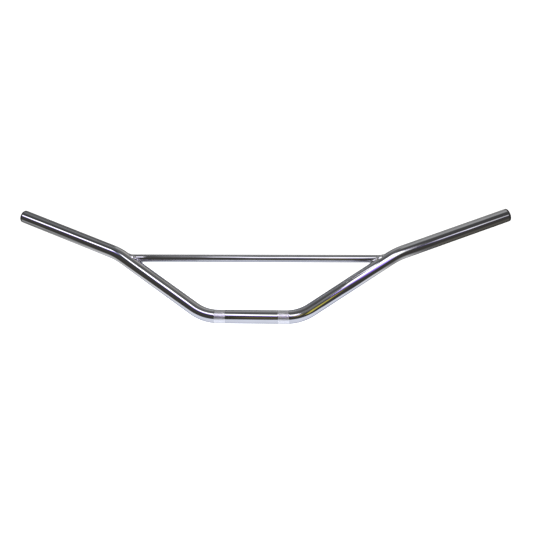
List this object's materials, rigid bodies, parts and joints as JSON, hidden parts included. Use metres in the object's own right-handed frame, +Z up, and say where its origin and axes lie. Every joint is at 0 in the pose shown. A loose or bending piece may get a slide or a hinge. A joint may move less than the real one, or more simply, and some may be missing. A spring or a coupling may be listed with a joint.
{
  "type": "handlebar",
  "caption": "Braced motorcycle handlebar: a bent round tube with swept, rising ends, a straight welded cross brace, knurled clamp bands and plugged tube ends.",
  "frame": {"origin": "middle of the clamp section's axis, where the handlebar clamps hold it", "axes": "+X along the clamp section to the end that is on the right when seen from in front of the bar, +Y back towards the rider, +Z up; the risers lean back 35 degrees, as clamped"},
  "size_m": [0.8446, 0.152, 0.1624],
  "materials": {
    "chrome_tube": "polished chrome plate over drawn steel tube, with faint draw lines; the two clamp bands are diamond knurled and look silvery and matt",
    "chrome_brace": "polished chrome plate over drawn steel tube",
    "chrome_weld": "chrome plate over a rippled weld bead",
    "black_plastic": "moulded black plastic with a fine grain and a soft sheen"
  },
  "bodies": {
    "root": {"bar_tube": "chrome_tube", "cross_brace": "chrome_brace", "weld_bead_left": "chrome_weld", "weld_bead_right": "chrome_weld", "end_plug_left": "black_plastic", "end_plug_right": "black_plastic"}
  },
  "joints": []
}
